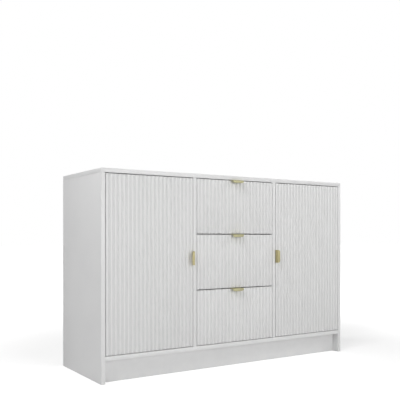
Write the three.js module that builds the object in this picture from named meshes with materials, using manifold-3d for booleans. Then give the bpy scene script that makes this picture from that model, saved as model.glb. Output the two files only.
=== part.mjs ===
// Sideboard buffet: a board carcass with two fluted doors on concealed cup hinges
// and three fluted drawers on side runners. Millimetres, +Z up, front facing -Y.
// The origin is on the floor, at the middle of the width and of the whole depth.
import * as THREE from 'three';
import { mergeVertices } from 'three/addons/utils/BufferGeometryUtils.js';
import Module from 'manifold-3d';

const wasm = await Module();
wasm.setup();

// ---------------------------------------------------------------- driving dimensions

// Carcass
const WIDTH = 1200;
const HEIGHT = 784;
const BOARD_DEPTH = 390;
const BOARD = 16;
const BACK_SHEET = 3;
const BACK_SHEET_INSET = 2;
const DOOR_BAY = 375;
const PLINTH_HEIGHT = 84;
const PLINTH_RECESS = 32;
const PLINTH_REAR_INSET = 20;
const SHELF_SIDE_CLEARANCE = 1;
const SHELF_SETBACK = 40;
const SHELF_BACK_CLEARANCE = 2;

// Fluted fronts
const FRONT = 18;
const FRONT_GAP = 3;
const DRAWER_GAP = 4;
const GROOVES = 21;
const GROOVE_WIDTH = 12;
const GROOVE_DEPTH = 3;
const GROOVE_MARGIN = 13;
const GROOVE_STEPS = 6;

// Edge-pull handles, bent from sheet
const HANDLE_LENGTH = 54;
const HANDLE_SHEET = 1.5;
const HANDLE_PROJECTION = 17;
const HANDLE_LIP = 11;
const HANDLE_FOOT = 20;
const HANDLE_CORNER = 8.5;
const HANDLE_BEND = 3;
const HANDLE_ABOVE_FLOOR = 450;

// Drawer boxes
const DRAWER_NAMES = ['lower', 'middle', 'upper'];
const DRAWER_SIDE = 12;
const DRAWER_SIDE_HEIGHT = 150;
const DRAWER_BOX_LIFT = 25;
const DRAWER_BOX_LENGTH = 350;
const DRAWER_BOTTOM = 3;
const DRAWER_BOTTOM_LIFT = 12;
const BOTTOM_GROOVE_DEPTH = 5;
const BOTTOM_FIT = 0.25;

// Roller runners
const RUNNER_SPACE = 13;
const RUNNER_SHEET = 1.25;
const RUNNER_LENGTH = 350;
const RUNNER_SETBACK = 2;
const RUNNER_WEB = 21;
const RUNNER_FOOT = 10;
const RUNNER_FLANGE = 7.5;
const CHANNEL_FLANGE = 8.5;
const CHANNEL_FLOOR_DROP = 1;
const CHANNEL_HEADROOM = 2.5;

// Concealed hinges
const HINGE_INSET = 100;
const CUP_RADIUS = 17.5;
const CUP_DEPTH = 11.5;
const CUP_EDGE = 5;
const CUP_FIT = 0.3;
const CUP_WALL = 1;
const CUP_RIM = 1.5;
const CUP_FLANGE = 1.5;
const CUP_EAR_HEIGHT = 64;
const CUP_EAR_WIDTH = 21;
const LINK_STANDOFF = 7;
const LINK_THICKNESS = 3;
const LINK_HEIGHT = 8;
const LINK_CLEARANCE = 0.4;
const LINK_CUP_CLEARANCE = 0.5;
const LINK_END_ANGLE = 92;
const CHEEK = 1.25;
const CHEEK_SETBACK_ANGLE = 2;
const CHEEK_END_ANGLE = 88;
const SLOT_OVERRUN_ANGLE = 18;
const ARM_WIDTH = 8.5;
const ARM_STANDOFF = 6;
const ARM_LENGTH = 42;
const PLATE = 3.5;
const PLATE_STANDOFF = 16;
const PLATE_LENGTH = 34;
const PLATE_HEIGHT = 50;
const ROUND_STEPS = 24;
const ARC_STEPS = 10;

// ---------------------------------------------------------------- dependent places

// Faces that meet are placed on a grid of one eighth of a millimetre.
const GRID = 8;
const onGrid = (value) => Math.round(value * GRID) / GRID;
const spanOnGrid = (span) => span.map(onGrid);

// How far a cutter reaches past the face that it goes in at.
const OVERRUN = 1;

const wholeDepth = BOARD_DEPTH + BACK_SHEET + HANDLE_PROJECTION;
const frontY = onGrid(HANDLE_PROJECTION - wholeDepth / 2);
const boardY = [frontY, frontY + BOARD_DEPTH];
const outerX = WIDTH / 2;
const innerX = outerX - BOARD;
const partitionX = innerX - DOOR_BAY;
const drawerBayX = partitionX - BOARD;
const openingZ = [PLINTH_HEIGHT + BOARD, HEIGHT - BOARD];

const doorWidth = onGrid(DOOR_BAY - 2 * FRONT_GAP);
const doorHeight = onGrid(openingZ[1] - openingZ[0] - 2 * FRONT_GAP);
const doorZ = onGrid(openingZ[0] + FRONT_GAP);
const drawerCount = DRAWER_NAMES.length;
const drawerGaps = 2 * FRONT_GAP + (drawerCount - 1) * DRAWER_GAP;
const drawerFrontWidth = onGrid(2 * (drawerBayX - FRONT_GAP));
const drawerFrontHeight = onGrid((openingZ[1] - openingZ[0] - drawerGaps) / drawerCount);
const drawerOuterX = onGrid(drawerBayX - RUNNER_SPACE);
const drawerInnerX = onGrid(drawerOuterX - DRAWER_SIDE);

const cupCentre = CUP_RADIUS + CUP_EDGE;
const cupFloor = FRONT - CUP_DEPTH + CUP_WALL;
const linkRadius = FRONT + LINK_STANDOFF;
const linkRing = [linkRadius - LINK_THICKNESS / 2, linkRadius + LINK_THICKNESS / 2];
const linkStart = THREE.MathUtils.radToDeg(Math.asin((cupFloor + LINK_CUP_CLEARANCE) / linkRing[0]));

// ---------------------------------------------------------------- finishes

function finish(colour, roughness, metalness) {
  return () => new THREE.MeshStandardMaterial({ color: colour, roughness, metalness });
}

const whiteBoard = finish(0xe9e9e8, 0.5, 0);
const flutedWhite = finish(0xefeeec, 0.45, 0);
const whiteSheet = finish(0xe4e3e0, 0.6, 0);
const paleBrass = finish(0xc4b488, 0.35, 1);
const nickel = finish(0xb9bab8, 0.3, 1);
const runnerWhite = finish(0xdedfdf, 0.45, 0.2);

// ---------------------------------------------------------------- shaping helpers

function solidOf(geometry) {
  const bare = geometry.clone();
  bare.deleteAttribute('normal');
  bare.deleteAttribute('uv');
  const merged = mergeVertices(bare, 1e-4);
  return new wasm.Manifold(new wasm.Mesh({
    numProp: 3,
    vertProperties: new Float32Array(merged.attributes.position.array),
    triVerts: new Uint32Array(merged.index.array),
  }));
}

function geometryOf(solid) {
  const mesh = solid.getMesh();
  const geometry = new THREE.BufferGeometry();
  geometry.setAttribute('position', new THREE.BufferAttribute(mesh.vertProperties, mesh.numProp));
  geometry.setIndex(new THREE.BufferAttribute(mesh.triVerts, 1));
  return geometry;
}

function cut(geometry, cutters) {
  const start = solidOf(geometry);
  return geometryOf(cutters.reduce((solid, cutter) => solid.subtract(solidOf(cutter)), start));
}

function join(geometries) {
  const [first, ...others] = geometries.map(solidOf);
  return geometryOf(others.reduce((solid, other) => solid.add(other), first));
}

// A block between two corners, given as [low, high] along each axis.
function block(x, y, z) {
  const spans = [x, y, z].map(spanOnGrid);
  const [sizeX, sizeY, sizeZ] = spans.map(([low, high]) => high - low);
  const [midX, midY, midZ] = spans.map(([low, high]) => (high + low) / 2);
  return new THREE.BoxGeometry(sizeX, sizeY, sizeZ).translate(midX, midY, midZ);
}

// An outline in X and Y, raised along Z between two heights.
function raise(points, [low, high]) {
  const outline = new THREE.Shape(points.map(([x, y]) => new THREE.Vector2(x, y)));
  const geometry = new THREE.ExtrudeGeometry(outline, { depth: high - low, bevelEnabled: false });
  return geometry.translate(0, 0, low);
}

// A section in X and Z, drawn out along Y between two places.
function drawOut(points, [front, back]) {
  const geometry = raise(points, [0, back - front]);
  return geometry.rotateX(Math.PI / 2).translate(0, back, 0);
}

// A disc with its axis along Y.
function disc(radius, x, [front, back], z) {
  const geometry = new THREE.CylinderGeometry(radius, radius, back - front, ROUND_STEPS);
  return geometry.translate(x, (front + back) / 2, z);
}

// Points on an arc about [x, y], from one angle to another in degrees.
function arcPoints([x, y], radius, from, to, steps) {
  return Array.from({ length: steps + 1 }, (_, i) => {
    const angle = THREE.MathUtils.degToRad(from + ((to - from) * i) / steps);
    return [x + radius * Math.cos(angle), y + radius * Math.sin(angle)];
  });
}

function piece(group, name, material, geometry) {
  const mesh = new THREE.Mesh(geometry, material());
  mesh.name = name;
  group.add(mesh);
  return mesh;
}

function board(group, name, material, x, y, z) {
  const spans = [x, y, z].map(spanOnGrid);
  const sizes = spans.map(([low, high]) => high - low);
  const mesh = piece(group, name, material, new THREE.BoxGeometry(...sizes));
  mesh.position.set(...spans.map(([low, high]) => (high + low) / 2));
  return mesh;
}

const mirrored = (side, points) => points.map(([x, y]) => [side * x, y]);
const mirroredSpan = (side, [low, high]) => (side > 0 ? [low, high] : [-high, -low]);

const sideboard = new THREE.Group();

// ---------------------------------------------------------------- carcass

function addCarcass(group) {
  const betweenSides = [-innerX, innerX];
  board(group, 'top_panel', whiteBoard, [-outerX, outerX], boardY, [HEIGHT - BOARD, HEIGHT]);
  board(group, 'bottom_panel', whiteBoard, betweenSides, boardY, [PLINTH_HEIGHT, openingZ[0]]);
  for (const [word, side] of [['left', -1], ['right', 1]]) {
    const sideX = mirroredSpan(side, [innerX, outerX]);
    board(group, `${word}_side_panel`, whiteBoard, sideX, boardY, [0, HEIGHT - BOARD]);
    const partition = mirroredSpan(side, [drawerBayX, partitionX]);
    board(group, `${word}_partition`, whiteBoard, partition, boardY, openingZ);
  }
  const sheetX = outerX - BACK_SHEET_INSET;
  const sheetZ = [PLINTH_HEIGHT + BACK_SHEET_INSET, HEIGHT - BACK_SHEET_INSET];
  const sheetY = [boardY[1], boardY[1] + BACK_SHEET];
  board(group, 'back_panel', whiteSheet, [-sheetX, sheetX], sheetY, sheetZ);
}

// The plinth is a low frame that the bottom panel stands on, set back from the front.
function addPlinth(group) {
  const betweenSides = [-innerX, innerX];
  const height = [0, PLINTH_HEIGHT];
  const frontBoard = [boardY[0] + PLINTH_RECESS, boardY[0] + PLINTH_RECESS + BOARD];
  const rearBoard = [boardY[1] - PLINTH_REAR_INSET - BOARD, boardY[1] - PLINTH_REAR_INSET];
  board(group, 'plinth_front', whiteBoard, betweenSides, frontBoard, height);
  board(group, 'plinth_rear', whiteBoard, betweenSides, rearBoard, height);
  board(group, 'plinth_brace', whiteBoard, [-BOARD / 2, BOARD / 2], [frontBoard[1], rearBoard[0]], height);
}

// One loose shelf in each door bay, halfway up.
function addShelves(group) {
  const middle = (openingZ[0] + openingZ[1]) / 2;
  const shelfZ = [middle - BOARD / 2, middle + BOARD / 2];
  const shelfY = [boardY[0] + SHELF_SETBACK, boardY[1] - SHELF_BACK_CLEARANCE];
  const shelfX = [partitionX + SHELF_SIDE_CLEARANCE, innerX - SHELF_SIDE_CLEARANCE];
  board(group, 'left_shelf', whiteBoard, mirroredSpan(-1, shelfX), shelfY, shelfZ);
  board(group, 'right_shelf', whiteBoard, shelfX, shelfY, shelfZ);
}

// ---------------------------------------------------------------- fluted fronts and handles

// A panel from x 0 to its width and y 0 to its thickness, with round grooves down its face.
function flutedPanel(width, height) {
  const pitch = (width - 2 * GROOVE_MARGIN) / (GROOVES - 1);
  const radius = ((GROOVE_WIDTH / 2) ** 2 + GROOVE_DEPTH ** 2) / (2 * GROOVE_DEPTH);
  const halfAngle = THREE.MathUtils.radToDeg(Math.asin(GROOVE_WIDTH / 2 / radius));
  const centreY = GROOVE_DEPTH - radius;
  const face = [[0, 0]];
  for (let i = 0; i < GROOVES; i += 1) {
    const centre = [GROOVE_MARGIN + i * pitch, centreY];
    face.push(...arcPoints(centre, radius, 90 + halfAngle, 90 - halfAngle, GROOVE_STEPS));
  }
  face.push([width, 0], [width, onGrid(FRONT)], [0, onGrid(FRONT)]);
  return raise(face, [0, height]);
}

// The section of a handle, in the plane across the edge that it is screwed to: x runs from
// that edge into the front, y from the front's face to its back. The lip hangs in front of
// the face, the web crosses the edge, and the foot lies on the back.
function handleSection() {
  const sheet = HANDLE_SHEET;
  const lipY = -HANDLE_PROJECTION;
  const footY = onGrid(FRONT);
  const bend = HANDLE_BEND;
  return [
    [-sheet + HANDLE_LIP, lipY],
    [-sheet + HANDLE_LIP, lipY + sheet],
    [0, lipY + sheet],
    [0, footY],
    [HANDLE_FOOT, footY],
    [HANDLE_FOOT, footY + sheet],
    ...arcPoints([bend - sheet, footY + sheet - bend], bend, 90, 180, GROOVE_STEPS),
    ...arcPoints([bend - sheet, lipY + bend], bend, 180, 270, GROOVE_STEPS),
  ];
}

// What is cut off to round one end of the lip.
function lipCornerCutter(end) {
  const tip = HANDLE_LIP - HANDLE_SHEET;
  const centre = [tip - HANDLE_CORNER, end * (HANDLE_LENGTH / 2 - HANDLE_CORNER)];
  const corner = [
    [tip + OVERRUN, centre[1]],
    [tip + OVERRUN, end * (HANDLE_LENGTH / 2 + OVERRUN)],
    [centre[0], end * (HANDLE_LENGTH / 2 + OVERRUN)],
    ...arcPoints(centre, HANDLE_CORNER, end * 90, 0, GROOVE_STEPS),
  ];
  const geometry = raise(corner, [0, HANDLE_PROJECTION]);
  return geometry.rotateX(Math.PI / 2).translate(0, -HANDLE_SHEET / 2, 0);
}

function handleGeometry() {
  const bar = raise(handleSection(), [-HANDLE_LENGTH / 2, HANDLE_LENGTH / 2]);
  return cut(bar, [lipCornerCutter(1), lipCornerCutter(-1)]);
}

// ---------------------------------------------------------------- doors

// A door group stands at the floor under the outer front corner of its door, which is the
// line that the door turns about. side is 1 where the door runs towards +X.
function addDoor(parent, word, side) {
  const group = new THREE.Group();
  group.position.set(onGrid(-side * (innerX - FRONT_GAP)), frontY, 0);
  parent.add(group);

  const cupHeights = [doorZ + doorHeight - HINGE_INSET, doorZ + HINGE_INSET];
  const bores = cupHeights.map((z) => {
    const depth = [FRONT - CUP_DEPTH - CUP_FIT, FRONT + OVERRUN];
    return disc(CUP_RADIUS, side * cupCentre, depth, z);
  });
  const panel = flutedPanel(doorWidth, doorHeight).translate(side > 0 ? 0 : -doorWidth, 0, doorZ);
  piece(group, `${word}_door_panel`, flutedWhite, cut(panel, bores));

  const handle = piece(group, `${word}_door_handle`, paleBrass, handleGeometry());
  handle.position.set(side * doorWidth, 0, HANDLE_ABOVE_FLOOR);
  handle.rotation.y = side > 0 ? Math.PI : 0;

  ['upper', 'lower'].forEach((level, i) => addHinge(group, `${word}_${level}`, side, cupHeights[i]));
}

function addHinge(group, name, side, z) {
  piece(group, `${name}_hinge_cup`, nickel, hingeCup(side)).position.z = z;
  piece(group, `${name}_hinge_arm`, nickel, hingeArm(side)).position.z = z;
  piece(group, `${name}_hinge_link`, nickel, hingeLink(side)).position.z = z;
}

// A drawn steel cup in the back of the door, with a rim and two screwed ears.
function hingeCup(side) {
  const x = side * cupCentre;
  const back = onGrid(FRONT);
  const outer = disc(CUP_RADIUS - CUP_FIT, x, [back - CUP_DEPTH, back + CUP_FLANGE], 0);
  const rim = disc(CUP_RADIUS + CUP_RIM, x, [back, back + CUP_FLANGE], 0);
  const earX = [x - CUP_EAR_WIDTH / 2, x + CUP_EAR_WIDTH / 2];
  const earZ = [-CUP_EAR_HEIGHT / 2, CUP_EAR_HEIGHT / 2];
  const ears = block(earX, [back, back + CUP_FLANGE], earZ);
  const inner = disc(
    CUP_RADIUS - CUP_FIT - CUP_WALL,
    x,
    [cupFloor, back + CUP_FLANGE + OVERRUN],
    0,
  );
  return cut(join([outer, rim, ears]), [inner]);
}

// A sector of a ring about the door's turning line.
function ringSector(side, [inner, outer], [from, to], height) {
  const outline = [
    ...arcPoints([0, 0], outer, from, to, ARC_STEPS),
    ...arcPoints([0, 0], inner, to, from, ARC_STEPS),
  ];
  return raise(mirrored(side, outline), height);
}

// The arm is screwed to the side panel by its plate. Two curved cheeks reach round into the
// cup, and the link runs between them.
function hingeArm(side) {
  const slotHalf = LINK_HEIGHT / 2 + LINK_CLEARANCE;
  const armHalf = slotHalf + CHEEK;
  const plateX = [-FRONT_GAP, PLATE - FRONT_GAP];
  const armX = [plateX[1] - CHEEK, plateX[1] + ARM_WIDTH];
  const plate = block(
    mirroredSpan(side, plateX),
    [FRONT + PLATE_STANDOFF, FRONT + PLATE_STANDOFF + PLATE_LENGTH],
    [-PLATE_HEIGHT / 2, PLATE_HEIGHT / 2],
  );
  const armY = [FRONT + ARM_STANDOFF, FRONT + ARM_STANDOFF + ARM_LENGTH];
  const arm = block(mirroredSpan(side, armX), armY, [-armHalf, armHalf]);
  const cheekAngles = [linkStart + CHEEK_SETBACK_ANGLE, CHEEK_END_ANGLE];
  const cheeks = ringSector(side, linkRing, cheekAngles, [-armHalf, armHalf]);
  const slotRing = [linkRing[0] - LINK_CLEARANCE, linkRing[1] + LINK_CLEARANCE];
  const slotAngles = [0, LINK_END_ANGLE + SLOT_OVERRUN_ANGLE];
  const slot = ringSector(side, slotRing, slotAngles, [-slotHalf, slotHalf]);
  return cut(join([plate, arm, cheeks]), [slot]);
}

// The curved link between the arm and the cup.
function hingeLink(side) {
  const height = [-LINK_HEIGHT / 2, LINK_HEIGHT / 2];
  return ringSector(side, linkRing, [linkStart, LINK_END_ANGLE], height);
}

// ---------------------------------------------------------------- drawers

// A drawer group stands at the middle of its front's lower edge, on the front's face.
function addDrawer(parent, word, index) {
  const group = new THREE.Group();
  const lowerEdge = doorZ + index * (drawerFrontHeight + DRAWER_GAP);
  group.position.set(0, frontY, onGrid(lowerEdge));
  parent.add(group);

  const back = onGrid(FRONT);
  const boxY = [back, back + DRAWER_BOX_LENGTH];
  const sideZ = [DRAWER_BOX_LIFT, DRAWER_BOX_LIFT + DRAWER_SIDE_HEIGHT];
  const sheetZ = [sideZ[0] + DRAWER_BOTTOM_LIFT, sideZ[0] + DRAWER_BOTTOM_LIFT + DRAWER_BOTTOM];
  const grooveZ = [sheetZ[0] - BOTTOM_FIT, sheetZ[1] + BOTTOM_FIT];
  const grooveX = drawerInnerX + BOTTOM_GROOVE_DEPTH;
  const sheetX = grooveX - BOTTOM_FIT;

  const front = flutedPanel(drawerFrontWidth, drawerFrontHeight).translate(-drawerFrontWidth / 2, 0, 0);
  const grooveY = [back - BOTTOM_GROOVE_DEPTH, back + OVERRUN];
  const frontGroove = block([-grooveX, grooveX], grooveY, grooveZ);
  piece(group, `${word}_drawer_front`, flutedWhite, cut(front, [frontGroove]));

  const handle = piece(group, `${word}_drawer_handle`, paleBrass, handleGeometry());
  handle.position.set(0, 0, drawerFrontHeight);
  handle.rotation.y = Math.PI / 2;

  for (const [hand, side] of [['left', -1], ['right', 1]]) {
    const wall = block(mirroredSpan(side, [drawerInnerX, drawerOuterX]), boxY, sideZ);
    const sideGrooveX = mirroredSpan(side, [drawerInnerX - OVERRUN, grooveX]);
    const groove = block(sideGrooveX, [back - OVERRUN, boxY[1] + OVERRUN], grooveZ);
    piece(group, `${word}_drawer_${hand}_side`, whiteBoard, cut(wall, [groove]));
  }
  const backY = [boxY[1] - DRAWER_SIDE, boxY[1]];
  const backZ = [grooveZ[1], sideZ[1]];
  board(group, `${word}_drawer_back`, whiteBoard, [-drawerInnerX, drawerInnerX], backY, backZ);
  const sheetY = [back - BOTTOM_GROOVE_DEPTH + BOTTOM_FIT, boxY[1]];
  board(group, `${word}_drawer_bottom`, whiteSheet, [-sheetX, sheetX], sheetY, sheetZ);

  addRunners(group, word, sideZ[0]);
}

// Each side has a member on the drawer, whose flange runs inside a channel on the partition.
function addRunners(group, word, sideBottom) {
  const sheet = RUNNER_SHEET;
  const webX = drawerOuterX + sheet;
  const channelX = onGrid(drawerBayX);
  const channelZ = [-CHANNEL_FLOOR_DROP - sheet, RUNNER_WEB + CHANNEL_HEADROOM + sheet];
  const member = [
    [drawerOuterX - RUNNER_FOOT, -sheet],
    [webX, -sheet],
    [webX, RUNNER_WEB - sheet],
    [drawerOuterX + RUNNER_FLANGE, RUNNER_WEB - sheet],
    [drawerOuterX + RUNNER_FLANGE, RUNNER_WEB],
    [drawerOuterX, RUNNER_WEB],
    [drawerOuterX, 0],
    [drawerOuterX - RUNNER_FOOT, 0],
  ];
  const channel = [
    [channelX, channelZ[0]],
    [channelX, channelZ[1]],
    [channelX - CHANNEL_FLANGE, channelZ[1]],
    [channelX - CHANNEL_FLANGE, channelZ[1] - sheet],
    [channelX - sheet, channelZ[1] - sheet],
    [channelX - sheet, channelZ[0] + sheet],
    [channelX - CHANNEL_FLANGE, channelZ[0] + sheet],
    [channelX - CHANNEL_FLANGE, channelZ[0]],
  ];
  const memberY = [onGrid(FRONT), onGrid(FRONT) + RUNNER_LENGTH];
  const channelY = [memberY[0] + RUNNER_SETBACK, memberY[1] + RUNNER_SETBACK];
  for (const [hand, side] of [['left', -1], ['right', 1]]) {
    const memberBar = drawOut(mirrored(side, member), memberY);
    const channelBar = drawOut(mirrored(side, channel), channelY);
    piece(group, `${word}_drawer_${hand}_runner`, runnerWhite, memberBar).position.z = sideBottom;
    piece(group, `${word}_${hand}_cabinet_runner`, runnerWhite, channelBar).position.z = sideBottom;
  }
}

// ---------------------------------------------------------------- assembly

addCarcass(sideboard);
addPlinth(sideboard);
addShelves(sideboard);
addDoor(sideboard, 'left', 1);
addDoor(sideboard, 'right', -1);
DRAWER_NAMES.forEach((word, index) => addDrawer(sideboard, word, index));

export default sideboard;
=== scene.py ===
import math

import bpy
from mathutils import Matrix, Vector


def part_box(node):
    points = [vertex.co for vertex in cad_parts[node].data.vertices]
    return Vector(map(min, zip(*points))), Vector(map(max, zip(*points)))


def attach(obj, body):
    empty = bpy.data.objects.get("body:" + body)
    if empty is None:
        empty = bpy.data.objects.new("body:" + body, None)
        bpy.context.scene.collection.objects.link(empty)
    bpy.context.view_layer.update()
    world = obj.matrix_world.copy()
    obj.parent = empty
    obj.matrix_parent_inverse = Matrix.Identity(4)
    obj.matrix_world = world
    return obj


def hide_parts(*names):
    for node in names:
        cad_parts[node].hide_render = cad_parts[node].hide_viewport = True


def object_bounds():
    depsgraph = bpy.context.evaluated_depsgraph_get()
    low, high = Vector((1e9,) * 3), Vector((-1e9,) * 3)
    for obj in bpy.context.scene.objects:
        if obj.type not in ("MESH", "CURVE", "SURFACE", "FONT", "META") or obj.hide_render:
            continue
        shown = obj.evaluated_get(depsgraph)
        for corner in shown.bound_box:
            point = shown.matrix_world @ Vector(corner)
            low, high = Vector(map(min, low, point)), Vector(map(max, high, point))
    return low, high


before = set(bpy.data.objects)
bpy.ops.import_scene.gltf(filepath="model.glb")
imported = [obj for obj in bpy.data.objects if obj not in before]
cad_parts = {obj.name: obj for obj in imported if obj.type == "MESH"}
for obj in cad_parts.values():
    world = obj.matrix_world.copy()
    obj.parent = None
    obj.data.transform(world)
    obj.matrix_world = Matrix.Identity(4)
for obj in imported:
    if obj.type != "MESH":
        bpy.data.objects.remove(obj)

cad_low, cad_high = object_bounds()

# ---------------------------------------------------------------- side panels
# The two side panels are 16 mm particleboard faced with white melamine. They stand on the
# floor and carry the whole cabinet. Their front edges are closed with a glued plastic band.
# Each has two rows of shelf-pin holes inside.

MM = 0.001
BOARD_EDGE = 0.7 * MM
FLAT_ANGLE = math.radians(30)
FRONT_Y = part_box("left_side_panel")[0].y
BACK_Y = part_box("left_side_panel")[1].y


def only(piece):
    """Selects one piece and nothing else."""
    bpy.ops.object.select_all(action="DESELECT")
    piece.select_set(True)
    bpy.context.view_layer.objects.active = piece
    return piece


def placed(name):
    """Names the new primitive and puts its place and turn into its mesh."""
    piece = bpy.context.object
    piece.name = name
    piece.data.name = name
    bpy.ops.object.transform_apply(location=True, rotation=True, scale=True)
    return piece


def block(name, low, high):
    """A cube primitive between two corners."""
    low, high = Vector(low), Vector(high)
    bpy.ops.object.select_all(action="DESELECT")
    bpy.ops.mesh.primitive_cube_add(size=1, location=(low + high) / 2, scale=high - low)
    return placed(name)


def rod(name, centre, radius, length, turn=(0, 0, 0), sides=24):
    """A cylinder primitive about its centre, upright until it is turned."""
    bpy.ops.object.select_all(action="DESELECT")
    bpy.ops.mesh.primitive_cylinder_add(
        vertices=sides, radius=radius, depth=length, location=centre, rotation=turn
    )
    return placed(name)


def shape_with(piece, kind, **settings):
    """Adds a modifier, sets it and applies it."""
    modifier = piece.modifiers.new(kind, kind)
    for setting, value in settings.items():
        setattr(modifier, setting, value)
    only(piece)
    bpy.ops.object.modifier_apply(modifier=modifier.name)
    return piece


def round_edges(piece, width, steps=2):
    """Rounds every sharp edge."""
    return shape_with(
        piece, "BEVEL", width=width, segments=steps, limit_method="ANGLE", angle_limit=FLAT_ANGLE
    )


def carve(piece, cutter):
    """Takes the cutter's shape out of the piece."""
    shape_with(piece, "BOOLEAN", operation="DIFFERENCE", solver="EXACT", object=cutter)
    bpy.data.objects.remove(cutter)
    return piece


def join(name, pieces):
    """Joins pieces into one object."""
    bpy.ops.object.select_all(action="DESELECT")
    for piece in pieces:
        piece.select_set(True)
    bpy.context.view_layer.objects.active = pieces[0]
    bpy.ops.object.join()
    pieces[0].name = name
    pieces[0].data.name = name
    return pieces[0]


def fit(piece, body, slot, material, *nodes):
    """Finishes a piece: smooth shading, its material, its body and the CAD nodes it stands for."""
    only(piece)
    bpy.ops.object.shade_smooth_by_angle(angle=FLAT_ANGLE)
    piece.data.materials.clear()
    piece.data.materials.append(material)
    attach(piece, body)
    if nodes:
        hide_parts(*nodes)
    return piece


def shader(name, colour, roughness, metallic=0.0):
    """A material with one Principled shader, its colour, roughness and metalness set."""
    material = bpy.data.materials.new(name)
    material.use_nodes = True
    principled = material.node_tree.nodes["Principled BSDF"]
    principled.inputs["Base Color"].default_value = (*colour, 1)
    principled.inputs["Roughness"].default_value = roughness
    principled.inputs["Metallic"].default_value = metallic
    return material


def add_node(material, kind, **inputs):
    """Adds a node and sets or links its inputs, which are named with _ for spaces."""
    node = material.node_tree.nodes.new(kind)
    for key, value in inputs.items():
        socket = node.inputs[key.replace("_", " ")]
        if isinstance(value, bpy.types.NodeSocket):
            material.node_tree.links.new(value, socket)
        else:
            socket.default_value = value
    return node


def grain(material, stretch, scale, detail=4.0):
    """A noise over the piece's own coordinates, stretched along each axis."""
    place = add_node(material, "ShaderNodeTexCoord").outputs["Object"]
    mapping = add_node(material, "ShaderNodeMapping", Vector=place, Scale=stretch)
    noise = add_node(
        material, "ShaderNodeTexNoise", Vector=mapping.outputs["Vector"], Scale=scale, Detail=detail
    )
    return noise.outputs["Fac"]


def tint(material, mask, dark, light):
    """Lets the base colour run between two colours with a mask."""
    ramp = add_node(material, "ShaderNodeValToRGB", Fac=mask)
    ramp.color_ramp.elements[0].position = 0.3
    ramp.color_ramp.elements[0].color = (*dark, 1)
    ramp.color_ramp.elements[1].position = 0.7
    ramp.color_ramp.elements[1].color = (*light, 1)
    principled = material.node_tree.nodes["Principled BSDF"]
    material.node_tree.links.new(ramp.outputs["Color"], principled.inputs["Base Color"])


def vary_roughness(material, mask, low, high):
    """Lets the roughness run between two values with a mask."""
    spread = add_node(material, "ShaderNodeMapRange", Value=mask, To_Min=low, To_Max=high)
    principled = material.node_tree.nodes["Principled BSDF"]
    material.node_tree.links.new(spread.outputs["Result"], principled.inputs["Roughness"])


def raise_grain(material, mask, height, strength=1.0):
    """Lets a mask stand out of the surface by a height in metres."""
    bump = add_node(material, "ShaderNodeBump", Height=mask, Distance=height, Strength=strength)
    principled = material.node_tree.nodes["Principled BSDF"]
    material.node_tree.links.new(bump.outputs["Normal"], principled.inputs["Normal"])


def melamine_finish():
    """White melamine: a faint cloudiness in the paper and a fine pearl pressed into it."""
    material = shader("white_melamine", (0.70, 0.70, 0.70), 0.5)
    cloud = grain(material, (1, 1, 1), 7.0)
    tint(material, cloud, (0.772, 0.772, 0.774), (0.792, 0.792, 0.792))
    pearl = grain(material, (1, 1, 1), 900.0, 2.0)
    vary_roughness(material, pearl, 0.42, 0.58)
    raise_grain(material, pearl, 0.05 * MM, 0.5)
    return material


def edge_band_finish():
    """The plastic band on the edges: a little brighter, with faint drawing lines along it."""
    material = shader("edge_band", (0.78, 0.78, 0.78), 0.4)
    lines = grain(material, (1, 60, 1), 40.0)
    tint(material, lines, (0.788, 0.788, 0.788), (0.812, 0.812, 0.810))
    vary_roughness(material, lines, 0.34, 0.46)
    raise_grain(material, lines, 0.02 * MM, 0.5)
    return material


MELAMINE = melamine_finish()
EDGE_BAND = edge_band_finish()


def band_front(piece):
    """Gives the faces that look forward the edge band's material."""
    piece.data.materials.append(EDGE_BAND)
    for face in piece.data.polygons:
        if face.normal.y < -0.5:
            face.material_index = 1
    return piece


def carcass_board(node):
    """A board of the carcass with rounded edges and a banded front edge."""
    piece = block(node + "_board", *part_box(node))
    round_edges(piece, BOARD_EDGE)
    return band_front(fit(piece, "carcass", "white_board", MELAMINE, node))


PIN_RADIUS = 2.5 * MM
PIN_DEPTH = 10 * MM
PIN_PITCH = 32 * MM
PIN_HOLES = 9
PIN_ROW_INSETS = (75 * MM, 60 * MM)
SHELF_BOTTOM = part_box("left_shelf")[0].z
PIN_HEIGHT = SHELF_BOTTOM - PIN_RADIUS
ALONG_Y = (math.pi / 2, 0, 0)


def pin_rows():
    """Where the two rows of pin holes stand, front to back."""
    return (FRONT_Y + PIN_ROW_INSETS[0], BACK_Y - PIN_ROW_INSETS[1])


def bore_pin_holes(piece, face_x, inwards):
    """Bores the two rows of pin holes into one face. inwards is the side the bay is on."""
    first = PIN_HEIGHT - (PIN_HOLES // 2) * PIN_PITCH
    centre_x = face_x - inwards * (PIN_DEPTH / 2 - MM)
    drills = []
    for y in pin_rows():
        place = (centre_x, y, first)
        drill = rod("drill", place, PIN_RADIUS, PIN_DEPTH + 2 * MM, (0, math.pi / 2, 0), 20)
        shape_with(
            drill, "ARRAY", count=PIN_HOLES, use_relative_offset=False,
            use_constant_offset=True, constant_offset_displace=(0, 0, PIN_PITCH),
        )
        drills.append(drill)
    return carve(piece, join("drills", drills))


for side, inwards in (("left", 1), ("right", -1)):
    panel = block(side + "_side_board", *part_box(side + "_side_panel"))
    round_edges(panel, BOARD_EDGE)
    low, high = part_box(side + "_side_panel")
    bore_pin_holes(panel, high.x if inwards > 0 else low.x, inwards)
    band_front(fit(panel, "carcass", "white_board", MELAMINE, side + "_side_panel"))

# ---------------------------------------------------------------- bottom and plinth
# The bottom panel is housed between the sides on cam fittings, with its banded front edge
# flush. It stands on a low frame of the same board: a front rail set back as a toe kick, a
# rear rail, and a brace under the middle bay.

for node in ("bottom_panel", "plinth_front", "plinth_rear", "plinth_brace"):
    carcass_board(node)

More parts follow.
